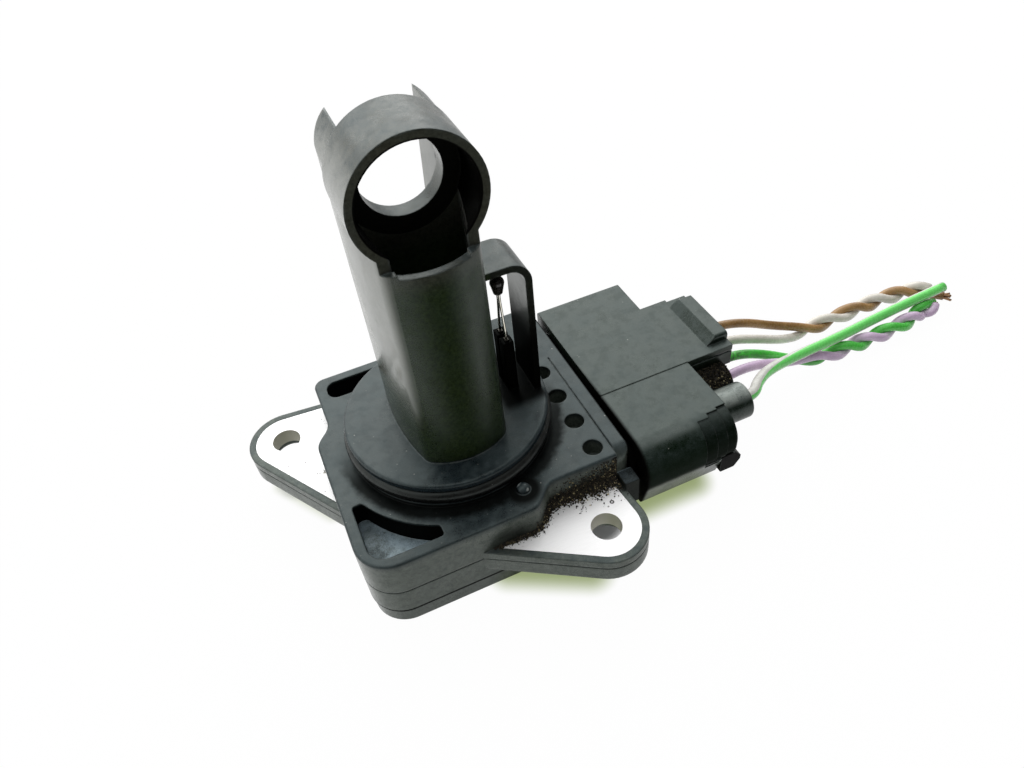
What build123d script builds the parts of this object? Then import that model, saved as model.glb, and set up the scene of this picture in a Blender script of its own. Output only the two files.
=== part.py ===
"""Plug-in mass airflow sensor: flanged base, probe tower, fitted harness plug and five cut wires.

The origin lies on the probe axis, in the top face of the base. +Z runs up the probe, +X to the plug.
"""

import os
from math import pi, radians, tan

from build123d import *

os.makedirs("parts", exist_ok=True)

# Base block, measured from the probe axis and down from its top face
base_wall = 21.8
base_front = 22.4
base_inset = 18.9
base_right = 24.6
cavity_depth = 4.1
step_start = 5.0
step_end = 11.0
front_corner = 6.0
rear_corner = 2.0
mould_line_drop = 7.5
mould_line_width = 0.24
mould_line_depth = 0.15
base_edge = 0.4

# Screw ears and the aluminium plate that lies bare in them
hole_far = 26.7
hole_near = 15.7
hole_diameter = 5.0
hole_relief = 0.7
ear_radius = 6.7
ear_rim = 1.2
ear_root = 17.4
ear_root_rear = 21.5
ear_root_front = 11.5
ear_drop = 5.8
ear_height = 4.5
plate_thickness = 3.0
plate_half = 16.0
window_left = 7.0
window_right = 14.2
window_front = 10.5
window_rear = 4.0
window_corner = 1.0

# Moulded relief on the top of the base
pocket_wall = 1.9
pocket_arc = 20.3
pocket_depth = 4.3
front_pocket = 11.5
rear_pocket_length = 12.0
rear_pocket_width = 4.2
pocket_corner = 3.0
pocket_end = 1.8
pocket_tip = 0.6
vent_x = 19.1
vent_centre = -6.0
vent_pitch = 6.5
vent_count = 4
vent_diameter = 3.3
vent_depth = 3.5
root_line_x = 21.9
root_line_rear = 6.7
root_line_width = 0.25
strip_round = 2.5
foot_front = 21.8
foot_drop = 4.6
bump_x = 5.6
bump_y = -18.2
bump_radius = 1.1

# Round spigot with its seal groove
spigot_radius = 17.0
spigot_top = 5.0
spigot_edge = 0.5
groove_edge = 0.25
groove_bottom = 0.5
seal_section = 2.6
seal_outer_radius = 17.5
seal_side_gap = 0.25
seal_root_gap = 0.05

# Probe tower: bowed sides, an arched front wall and a rear face that leans in
tower_half = 8.45
tower_widest = 1.5
tower_corner_half = 6.6
tower_corner = 10.4
tower_front = 12.6
tower_rear = 9.3
tower_rear_half = 7.65
tower_rear_top = 6.2
tower_shell = 1.2
tower_front_round = 2.8
tower_rear_round = 2.0
lip_height = 41.0
lip_drop = 0.5
lip_half = 4.8

# Ring inlet at the tip, the bulkhead behind it and the bypass passage
ring_height = 49.0
ring_radius = 9.0
ring_bore = 7.83
ring_front = 10.0
arch_radius = 8.8
bulkhead = 2.9
outlet_radius = 5.5
passage_floor = 9.0
turn_height = 7.0
slot_sill = 33.0
slot_half_low = 4.9
slot_half_top = 5.8

# Guard loop and the temperature element inside it
guard_out = 15.8
guard_top = 31.1
guard_width = 7.8
guard_thickness = 1.1
guard_bend = 3.6
bead_bottom = 24.1
bead_height = 3.0
bead_radius = 1.15
bead_foot = 0.75
lead_radius = 0.2
lead_spread = 0.4
lead_straight = 1.6
post_spread = 1.2
post_top = 15.6
post_width = 0.8
post_thickness = 0.6
boss_side = 1.8
boss_top = 15.3

# Measuring elements in the bypass passage
element_half_span = 2.4
element_pin = 0.6
element_radius = 0.35
hot_element_y = -5.2
hot_element_top = 16.0
cold_element_y = -8.6
cold_element_top = 19.0

# Circuit space in the base and the cover that closes it
cavity_left = 17.5
cavity_right = 20.5
cavity_half = 17.5
cavity_corner = 3.0
board_edge_gap = 1.1
board_left_gap = 3.0
board_thickness = 0.8
board_corner = 1.0
chip_side = 9.0
chip_height = 1.4
chip_x = 3.0
chip_y = -3.0
capacitor_length = 2.2
capacitor_width = 1.3
capacitor_height = 1.0
capacitor_pitch = 3.4
capacitor_x = -6.0
capacitor_y = 7.0
cover_height = 3.7
cover_inset = 0.3
cover_edge = 0.5
lip_gap = 0.3
lip_width = 1.5
lip_rise = 1.2

# Row of five contacts: four at one pitch and one set further out
row_drop = 7.0
first_contact = 5.4
contact_pitch = 4.2
side_pitch = 6.0
row_count = 4
pin_width = 1.2
pin_height = 0.8
pin_tail = 1.2
pin_clearance = 1.8
pin_reach = 7.1

# Socket shroud
shroud_front = 18.7
shroud_rear = 16.5
shroud_height = 8.8
shroud_wall = 1.4
shroud_round = 2.5
mating_gap = 1.1

# Harness plug: a hood over the shroud with a core inside it
plug_gap = 1.0
plug_length = 17.6
plug_front = 22.6
plug_rear = 19.5
plug_bottom = 13.2
plug_top_step = 0.12
plug_step_y = -6.2
plug_round = 5.2
plug_edge = 0.8
plug_skirt_top = 7.0
plug_skirt_in = 1.8
patch_steps = ((6.2, 18.8), (4.0, 18.0), (1.9, 17.5))
patch_depth = 0.15
patch_drop = 8.2
slot_back = 6.0
slot_length = 2.9
slot_drop = 8.4
slot_height = 0.7
slot_depth = 0.9
notch_length = 2.7
notch_depth = 2.6
hood_gap = 0.4
end_wall = 2.4
core_start_gap = 3.0
core_gap = 0.4
contact_bore = 2.8
seal_start = 33.6
seal_width = 3.2
seal_depth = 0.8

# Wire side of the plug: barrels, latch plate and press bar
barrel_radius = 3.4
barrel_length = 7.8
barrel_bore = 3.6
barrel_edge = 0.4
latch_length = 9.4
latch_front = 6.3
latch_rear = 10.3
latch_sink = 4.5
latch_step = 0.6
latch_step_length = 3.9
latch_line_drop = 1.2
latch_line_width = 0.3
latch_line_depth = 0.8
bar_height = 1.6
bar_foot = 4.4
bar_ramp = 1.9
bar_front = 4.5
bar_rear = 8.0
bar_round = 0.7
retainer_drop = 12.5
retainer_height = 1.8
retainer_depth = 1.3
retainer_proud = 1.2
retainer_front = 21.4
retainer_rear = 6.0
retainer_gap = 0.1
lug_front = 22.0
lug_out = 1.4
lug_waist = 0.3
lug_top = 8.4
lug_bottom = 12.2
lug_middle = 10.1
lug_half = 0.5
lug_round = 0.3

# Contacts and seals inside the plug, and the wires
terminal_side = 2.4
terminal_inset = 0.8
terminal_length = 9.6
pin_slack = 0.1
crimp_radius = 1.0
crimp_back = 4.4
wire_seal_front = 0.6
wire_seal_back = 0.8
wire_diameter = 1.8
striped_diameter = 2.1
wire_slack = 0.05
bend_share = 0.45
brown_tail = [
    (56.5, 5.4, -7),
    (67, 4.3, -9),
    (77.5, 3.1, -13.9),
    (89, 4, -15.4),
    (99.5, 3.6, -15.6),
    (109.4, 2.7, -15.6),
]
grey_tail = [
    (56.5, 1.2, -7),
    (67, -0.2, -9.6),
    (77.5, 0.7, -14.2),
    (89, 1.7, -15.5),
    (99.5, 1.3, -15.6),
    (108.9, 0.4, -15.6),
]
green_tail = [
    (56.5, -3, -7),
    (67, -4, -9.9),
    (77.5, -4.5, -14.4),
    (88.5, -4.2, -15.5),
    (98.5, -3.4, -15.6),
    (107.2, -2.8, -15.6),
]
violet_tail = [
    (55.5, -7.2, -7),
    (64.5, -6.4, -9.9),
    (74, -7.2, -13.6),
    (84, -7.1, -15.4),
    (95, -6.6, -15.6),
    (105.4, -5.8, -15.6),
]
striped_tail = [
    (52.9, -13.2, -7),
    (57.6, -9.8, -6),
    (66, -7, -7.6),
    (77.5, -4.8, -11.3),
    (89, -3.2, -12.7),
    (99.5, -2.5, -12.9),
    (108.8, -2.9, -12.9),
]

# Heights and stations that follow from the sizes above
plate_bottom = ear_drop + plate_thickness
base_height = plate_bottom + cavity_depth
foot_height = ear_drop + ear_height - foot_drop
groove_height = seal_section + 2 * seal_side_gap
seal_centre_radius = seal_outer_radius - seal_section / 2
groove_root = seal_outer_radius - seal_section - seal_root_gap
tower_top = ring_height + ring_radius
thermistor_x = (tower_half + guard_out - guard_thickness) / 2
contacts = [first_contact - contact_pitch * i for i in range(row_count)]
contacts.append(contacts[-1] - side_pitch)
plug_start = base_right + plug_gap
plug_end = plug_start + plug_length
hood_end = plug_end - end_wall
shroud_end = hood_end - mating_gap
core_start = base_right + core_start_gap
pin_inner = plate_half + pin_clearance
terminal_start = core_start + terminal_inset
pin_outer = terminal_start + pin_reach
barrel_end = plug_end + barrel_length
latch_end = plug_end + latch_length
crimp_end = barrel_end - crimp_back
wire_sizes = [wire_diameter] * row_count + [striped_diameter]
shroud_width = shroud_front + shroud_rear
shroud_middle = (shroud_rear - shroud_front) / 2
ear_mirror = Plane(origin=(0, 0, 0), x_dir=(0, 0, 1), z_dir=(1, -1, 0))
diagonal = Axis((0, 0, 0), (1, 1, 0))


def base_outline(inset):
    """The base from above, drawn in by inset: its left and front walls step in beside the ears."""
    wall = base_wall - inset
    front = base_front - inset
    step = base_inset - inset
    right = base_right - inset
    step_middle = (step_start + step_end) / 2
    with BuildSketch() as outline:
        with BuildLine():
            FilletPolyline(
                (-wall, step_start),
                (-wall, -front),
                (step_start, -front),
                radius=front_corner - inset,
            )
            Bezier((step_start, -front), (step_middle, -front), (step_middle, -step), (step_end, -step))
            FilletPolyline(
                (step_end, -step),
                (right, -step),
                (right, wall),
                (-step, wall),
                (-step, step_end),
                radius=rear_corner - inset,
            )
            Bezier((-step, step_end), (-step, step_middle), (-wall, step_middle), (-wall, step_start))
        make_face()
    return outline.sketch


def ear_pair(growth, root):
    """Both ears from above, grown by growth: a round end about each screw hole, drawn in to a root line."""
    with BuildSketch() as pair:
        with BuildLine():
            CenterArc((-hole_far, hole_near), ear_radius + growth, 0, 360)
            Line((-root, ear_root_rear + growth), (-root, -ear_root_front))
        make_hull()
        mirror(about=ear_mirror)
    return pair.sketch


def tower_outline(inset):
    """The tower from above at its foot, its arched front and bowed sides drawn in by inset."""
    half = tower_half - inset
    corner_half = tower_corner_half - inset
    rear_half = tower_rear_half - inset
    corner = tower_corner - inset / 2
    with BuildSketch() as outline:
        with BuildLine():
            ThreePointArc((-corner_half, -corner), (0, inset - tower_front), (corner_half, -corner))
            ThreePointArc((corner_half, -corner), (half, tower_widest), (rear_half, tower_rear))
            Line((rear_half, tower_rear), (-rear_half, tower_rear))
            ThreePointArc((-rear_half, tower_rear), (-half, tower_widest), (-corner_half, -corner))
        make_face()
        fillet(outline.vertices().group_by(Axis.Y)[0], tower_front_round - inset)
    return outline.sketch


def tower_rear_at(height):
    """How far back the leaning rear face of the tower lies at a height."""
    share = (height - spigot_top) / (tower_top - spigot_top)
    return tower_rear + (tower_rear_top - tower_rear) * share


def shroud_outline(inset):
    """The socket's rounded outline in the plane of the contacts, drawn in by inset."""
    with BuildSketch() as outline:
        with Locations((shroud_middle, -row_drop)):
            RectangleRounded(shroud_width - 2 * inset, shroud_height - 2 * inset, shroud_round - inset / 2)
    return outline.sketch


def plug_outline(inset):
    """The plug's outline in the plane of the contacts, drawn in by inset: a round shoulder over a skirt."""
    rear = plug_rear - inset
    front = plug_front - inset
    bottom = plug_bottom - inset
    with BuildSketch() as outline:
        with BuildLine():
            FilletPolyline(
                (rear, -inset),
                (plug_step_y, -inset),
                (plug_step_y, -plug_top_step - inset),
                (-front, -plug_top_step - inset),
                (-front, -plug_skirt_top),
                (plug_skirt_in - front, -bottom),
                (rear, -bottom),
                radius=[plug_edge, 0, 0, plug_round - inset, plug_round / 2, plug_edge, plug_edge],
                close=True,
            )
        make_face()
    return outline.sketch


# Aluminium plate moulded into the base, with a window for the pins that pass it
with BuildPart() as mounting_plate:
    with BuildSketch(Plane.XY.offset(-ear_drop)):
        add(ear_pair(-ear_rim, plate_half))
        Rectangle(2 * plate_half, 2 * plate_half)
        with Locations(((window_right - window_left) / 2, (window_rear - window_front) / 2)):
            RectangleRounded(
                window_left + window_right,
                window_front + window_rear,
                window_corner,
                mode=Mode.SUBTRACT,
            )
        with Locations((-hole_far, hole_near), (hole_near, -hole_far)):
            Circle(hole_diameter / 2, mode=Mode.SUBTRACT)
    extrude(amount=-plate_thickness)
mounting_plate.part.label = "mounting_plate"
export_step(mounting_plate.part, "parts/mounting_plate.step")

# Four square pins that rise from the board into the bypass passage
with BuildPart() as element_posts:
    for row_y, row_top in ((hot_element_y, hot_element_top), (cold_element_y, cold_element_top)):
        with BuildSketch(Plane.XY.offset(-plate_bottom)):
            with Locations((0, row_y)):
                with GridLocations(2 * element_half_span, 0, 2, 1):
                    Rectangle(element_pin, element_pin)
        extrude(amount=plate_bottom + row_top)
element_posts.part.label = "element_posts"
export_step(element_posts.part, "parts/element_posts.step")

# Two flat pins that carry the temperature element
with BuildPart() as thermistor_posts:
    with BuildSketch(Plane.XY.offset(-plate_bottom)):
        with Locations((thermistor_x, 0)):
            with GridLocations(0, 2 * post_spread, 1, 2):
                Rectangle(post_thickness, post_width)
    extrude(amount=plate_bottom + post_top)
thermistor_posts.part.label = "thermistor_posts"
export_step(thermistor_posts.part, "parts/thermistor_posts.step")

# Five bent blades from the board out into the socket
with BuildPart() as socket_pins:
    for contact in contacts:
        with BuildSketch(Plane.XZ.offset(-contact)):
            with BuildLine():
                Polyline(
                    (pin_inner, -plate_bottom),
                    (pin_inner, -row_drop + pin_height / 2),
                    (pin_outer, -row_drop + pin_height / 2),
                    (pin_outer, -row_drop - pin_height / 2),
                    (pin_inner + pin_tail, -row_drop - pin_height / 2),
                    (pin_inner + pin_tail, -plate_bottom),
                    close=True,
                )
            make_face()
        extrude(amount=pin_width / 2, both=True)
socket_pins.part.label = "socket_pins"
export_step(socket_pins.part, "parts/socket_pins.step")

# Probe tower: the bowed post under an arch, with its ring inlet and the passages inside
with BuildPart() as tower:
    with BuildSketch(Plane.XY.offset(spigot_top)):
        add(tower_outline(0))
    extrude(amount=tower_top - spigot_top)
    with BuildSketch(Plane.YZ):
        with BuildLine():
            Polyline(
                (tower_rear, spigot_top),
                (tower_rear_top, tower_top),
                (tower_rear, tower_top),
                close=True,
            )
        make_face()
    extrude(amount=tower_half, both=True, mode=Mode.SUBTRACT)
    rear_face = tower.faces().filter_by(GeomType.PLANE).sort_by(Axis.Y)[-1]
    fillet(rear_face.edges().sort_by(SortBy.LENGTH)[-2:], tower_rear_round)
    with BuildSketch(Plane.XZ):
        with Locations((0, ring_height)):
            Rectangle(3 * ring_radius, 2 * ring_radius, align=(Align.CENTER, Align.MIN))
            Circle(arch_radius, mode=Mode.SUBTRACT)
    extrude(amount=2 * tower_front, both=True, mode=Mode.SUBTRACT)
    with BuildSketch(Plane.XY.offset(lip_height)):
        with Locations((0, -ring_front)):
            Rectangle(3 * ring_radius, tower_front, align=(Align.CENTER, Align.MAX))
    extrude(amount=tower_top, mode=Mode.SUBTRACT)
    with BuildSketch(Plane.XY.offset(lip_height - lip_drop)):
        with Locations((0, -ring_front)):
            Rectangle(2 * lip_half, tower_front, align=(Align.CENTER, Align.MAX))
    extrude(amount=lip_drop, mode=Mode.SUBTRACT)
    with BuildSketch(Plane.XZ.offset(ring_front)):
        with Locations((0, ring_height)):
            Circle(ring_radius)
    extrude(amount=-ring_front)
    with BuildSketch(Plane.XZ.offset(ring_front)):
        with Locations((0, ring_height)):
            Circle(ring_bore)
    extrude(amount=bulkhead - ring_front, mode=Mode.SUBTRACT)
    with BuildSketch(Plane.XZ.offset(bulkhead)):
        with Locations((0, ring_height)):
            Circle(outlet_radius)
    extrude(amount=-bulkhead, mode=Mode.SUBTRACT)
    with BuildSketch(Plane.XY.offset(passage_floor)):
        add(tower_outline(tower_shell))
        with Locations((0, -bulkhead)):
            Rectangle(3 * tower_half, 3 * tower_front, align=(Align.CENTER, Align.MIN), mode=Mode.SUBTRACT)
    extrude(amount=ring_height - passage_floor, mode=Mode.SUBTRACT)
    with BuildSketch(Plane.YZ):
        with BuildLine():
            Polyline(
                (0, passage_floor),
                (tower_rear_at(passage_floor) - tower_shell, passage_floor),
                (tower_rear_at(slot_sill) - tower_shell, slot_sill),
                (0, slot_sill),
                close=True,
            )
        make_face()
        with Locations((0, passage_floor)):
            Rectangle(bulkhead, turn_height, align=(Align.MAX, Align.MIN))
    extrude(amount=slot_half_low, both=True, mode=Mode.SUBTRACT)
    with BuildSketch(Plane.XZ):
        with BuildLine():
            Polyline(
                (-slot_half_low, slot_sill),
                (slot_half_low, slot_sill),
                (slot_half_top, tower_top),
                (-slot_half_top, tower_top),
                close=True,
            )
        make_face()
    extrude(amount=-tower_rear, mode=Mode.SUBTRACT)

# Main moulding: base, ears, spigot, tower, guard loop and socket in one piece
with BuildPart() as sensor_housing:
    add(base_outline(0))
    extrude(amount=-base_height)
    fillet(sensor_housing.faces().sort_by(Axis.Z)[-1].edges(), base_edge)
    with BuildSketch(Plane.YZ.offset(root_line_x)):
        with Locations((-base_inset, 0)):
            Rectangle(strip_round, strip_round, align=(Align.MIN, Align.MAX))
        with Locations((strip_round - base_inset, -strip_round)):
            Circle(strip_round, mode=Mode.SUBTRACT)
    extrude(amount=base_right - root_line_x, mode=Mode.SUBTRACT)
    with BuildSketch(Plane.XY.offset(-mould_line_drop)):
        add(base_outline(-mould_line_depth))
        add(base_outline(mould_line_depth), mode=Mode.SUBTRACT)
    extrude(amount=mould_line_width, mode=Mode.SUBTRACT)
    with BuildSketch(Plane.XY.offset(-ear_drop)):
        add(ear_pair(0, ear_root))
    extrude(amount=-ear_height)
    with BuildSketch(Plane.YZ.offset(root_line_x)):
        with Locations((-foot_front, -foot_drop)):
            Rectangle(foot_front - base_inset, foot_height, align=(Align.MIN, Align.MAX))
    extrude(amount=base_right - root_line_x)
    with BuildSketch(Plane.XY.offset(-mould_line_drop)):
        add(ear_pair(mould_line_depth, ear_root))
        add(ear_pair(-mould_line_depth, ear_root), mode=Mode.SUBTRACT)
        add(base_outline(0), mode=Mode.SUBTRACT)
    extrude(amount=mould_line_width, mode=Mode.SUBTRACT)
    with BuildSketch(Plane.XZ):
        with BuildLine():
            FilletPolyline(
                (0, -pocket_depth),
                (0, spigot_top),
                (spigot_radius, spigot_top),
                (spigot_radius, groove_bottom + groove_height),
                (groove_root, groove_bottom + groove_height),
                (groove_root, groove_bottom),
                (spigot_radius, groove_bottom),
                (spigot_radius, -pocket_depth),
                radius=[0, 0, spigot_edge, groove_edge, 0, 0, groove_edge, 0],
                close=True,
            )
        make_face()
    revolve(axis=Axis.Z)
    add(tower.part)
    with BuildSketch(Plane.XZ):
        with BuildLine():
            guard_outer = FilletPolyline(
                (tower_corner_half, guard_top),
                (guard_out, guard_top),
                (guard_out, spigot_top),
                radius=guard_bend,
            )
            guard_inner = FilletPolyline(
                (tower_corner_half, guard_top - guard_thickness),
                (guard_out - guard_thickness, guard_top - guard_thickness),
                (guard_out - guard_thickness, spigot_top),
                radius=guard_bend - guard_thickness,
            )
            Line(guard_outer @ 0, guard_inner @ 0)
            Line(guard_outer @ 1, guard_inner @ 1)
        make_face()
    extrude(amount=guard_width / 2, both=True)
    with BuildSketch(Plane.XY.offset(spigot_top)):
        with Locations((thermistor_x, 0)):
            with GridLocations(0, 2 * post_spread, 1, 2):
                Rectangle(boss_side, boss_side)
    extrude(amount=boss_top - spigot_top)
    with Locations((bump_x, bump_y, 0)):
        Sphere(bump_radius)
    with BuildSketch(Plane.YZ.offset(base_right)):
        add(shroud_outline(0))
    extrude(amount=shroud_end - base_right)
    with BuildSketch(Plane.YZ.offset(base_right)):
        add(shroud_outline(shroud_wall))
    extrude(amount=shroud_end - base_right, mode=Mode.SUBTRACT)
    # Pockets that keep the corners of the base to an even wall
    with BuildSketch() as front_pocket_sketch:
        with Locations((pocket_wall - base_wall, pocket_wall - base_front)):
            Rectangle(front_pocket, front_pocket, align=(Align.MIN, Align.MIN))
        Circle(pocket_arc, mode=Mode.SUBTRACT)
        fillet(front_pocket_sketch.vertices().sort_by(diagonal)[0], pocket_corner)
        fillet(front_pocket_sketch.vertices().sort_by(diagonal)[2:], pocket_tip)
    extrude(amount=-pocket_depth, mode=Mode.SUBTRACT)
    with BuildSketch() as rear_pocket_sketch:
        with Locations((pocket_wall - base_inset, base_wall - pocket_wall)):
            Rectangle(rear_pocket_length, rear_pocket_width, align=(Align.MIN, Align.MAX))
        Circle(pocket_arc, mode=Mode.SUBTRACT)
        fillet(rear_pocket_sketch.vertices().group_by(Axis.X)[0], pocket_end)
    extrude(amount=-pocket_depth, mode=Mode.SUBTRACT)
    with Locations((vent_x, vent_centre, 0)):
        with GridLocations(0, vent_pitch, 1, vent_count):
            Hole(vent_diameter / 2, depth=vent_depth)
    with BuildSketch():
        with Locations((root_line_x, root_line_rear)):
            Rectangle(root_line_width, base_wall + root_line_rear, align=(Align.CENTER, Align.MAX))
    extrude(amount=-root_line_width, mode=Mode.SUBTRACT)
    with BuildSketch(Plane.XY.offset(-base_height)):
        with Locations(((cavity_right - cavity_left) / 2, 0)):
            RectangleRounded(cavity_left + cavity_right, 2 * cavity_half, cavity_corner)
    extrude(amount=base_height - plate_bottom, mode=Mode.SUBTRACT)
    for hole_top, hole_radius in (
        (ear_drop, hole_diameter / 2),
        (plate_bottom, hole_diameter / 2 + hole_relief),
    ):
        with BuildSketch(Plane.XY.offset(-hole_top)):
            with Locations((-hole_far, hole_near), (hole_near, -hole_far)):
                Circle(hole_radius)
        extrude(amount=-ear_height, mode=Mode.SUBTRACT)
    for insert in (mounting_plate, element_posts, thermistor_posts, socket_pins):
        add(insert.part, mode=Mode.SUBTRACT)
sensor_housing.part.label = "sensor_housing"
export_step(sensor_housing.part, "parts/sensor_housing.step")

# Rubber ring in the spigot groove
with BuildPart() as o_ring:
    with Locations((0, 0, groove_bottom + groove_height / 2)):
        Torus(seal_centre_radius, seal_section / 2)
o_ring.part.label = "o_ring"
export_step(o_ring.part, "parts/o_ring.step")

# Board bonded under the plate, with its controller and a row of capacitors
board_right = cavity_right - board_edge_gap
board_left = cavity_left - board_left_gap
board_bottom = plate_bottom + board_thickness
with BuildPart() as circuit_board:
    with BuildSketch(Plane.XY.offset(-plate_bottom)):
        with Locations(((board_right - board_left) / 2, 0)):
            RectangleRounded(board_left + board_right, 2 * (cavity_half - board_left_gap), board_corner)
    extrude(amount=-board_thickness)
circuit_board.part.label = "circuit_board"
export_step(circuit_board.part, "parts/circuit_board.step")

with BuildPart() as control_chip:
    with BuildSketch(Plane.XY.offset(-board_bottom)):
        with Locations((chip_x, chip_y)):
            Rectangle(chip_side, chip_side)
    extrude(amount=-chip_height)
    chamfer(control_chip.edges().group_by(Axis.Z)[0], chip_height / 4)
control_chip.part.label = "control_chip"
export_step(control_chip.part, "parts/control_chip.step")

with BuildPart() as board_capacitors:
    with BuildSketch(Plane.XY.offset(-board_bottom)):
        with Locations((capacitor_x, capacitor_y)):
            with GridLocations(capacitor_pitch, capacitor_pitch, 3, 2):
                Rectangle(capacitor_width, capacitor_length)
    extrude(amount=-capacitor_height)
board_capacitors.part.label = "board_capacitors"
export_step(board_capacitors.part, "parts/board_capacitors.step")

# Cover that closes the base from below, with a lip that centres it in the circuit space
with BuildPart() as back_cover:
    with BuildSketch(Plane.XY.offset(-base_height)):
        add(base_outline(cover_inset))
    extrude(amount=-cover_height)
    chamfer(back_cover.edges().group_by(Axis.Z)[0], cover_edge)
    with BuildSketch(Plane.XY.offset(-base_height)):
        with Locations(((cavity_right - cavity_left) / 2, 0)):
            lip_length = cavity_left + cavity_right - 2 * lip_gap
            lip_breadth = 2 * (cavity_half - lip_gap)
            RectangleRounded(lip_length, lip_breadth, cavity_corner - lip_gap)
            RectangleRounded(
                lip_length - 2 * lip_width,
                lip_breadth - 2 * lip_width,
                cavity_corner - lip_gap - lip_width / 2,
                mode=Mode.SUBTRACT,
            )
    extrude(amount=lip_rise)
back_cover.part.label = "back_cover"
export_step(back_cover.part, "parts/back_cover.step")

# Thin coated rods between the tops of the element pins
for element_name, row_y, row_top in (
    ("hot_wire_element", hot_element_y, hot_element_top),
    ("cold_wire_element", cold_element_y, cold_element_top),
):
    with BuildPart() as element:
        with BuildSketch(Plane.YZ.offset(element_pin / 2 - element_half_span)):
            with Locations((row_y, row_top - element_pin)):
                Circle(element_radius)
        extrude(amount=2 * element_half_span - element_pin)
        fillet(element.edges().group_by(Axis.X)[0], element_radius / 3)
    element.part.label = element_name
    export_step(element.part, f"parts/{element_name}.step")

# Glass bead of the temperature element, a drop with a flat foot
with BuildPart() as thermistor_bead:
    with BuildSketch(Plane.XZ):
        with BuildLine():
            bead_top = bead_bottom + bead_height
            shoulder = bead_top - bead_radius
            Line((thermistor_x, bead_bottom), (thermistor_x + bead_foot, bead_bottom))
            Line((thermistor_x + bead_foot, bead_bottom), (thermistor_x + bead_radius, shoulder))
            RadiusArc((thermistor_x + bead_radius, shoulder), (thermistor_x, bead_top), -bead_radius)
            Line((thermistor_x, bead_top), (thermistor_x, bead_bottom))
        make_face()
    revolve(axis=Axis((thermistor_x, 0, 0), (0, 0, 1)))
thermistor_bead.part.label = "thermistor_bead"
export_step(thermistor_bead.part, "parts/thermistor_bead.step")

# Two fine leads that spread from the bead to the tops of their pins
with BuildPart() as thermistor_leads:
    for side in (-1, 1):
        with BuildLine() as lead_path:
            FilletPolyline(
                (thermistor_x, side * lead_spread, bead_bottom),
                (thermistor_x, side * lead_spread, bead_bottom - lead_straight),
                (thermistor_x, side * post_spread, post_top + lead_straight),
                (thermistor_x, side * post_spread, post_top),
                radius=lead_straight,
            )
        with BuildSketch(Plane(origin=lead_path.line @ 0, z_dir=lead_path.line % 0)):
            Circle(lead_radius)
        sweep(path=lead_path.line)
thermistor_leads.part.label = "thermistor_leads"
export_step(thermistor_leads.part, "parts/thermistor_leads.step")

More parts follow.
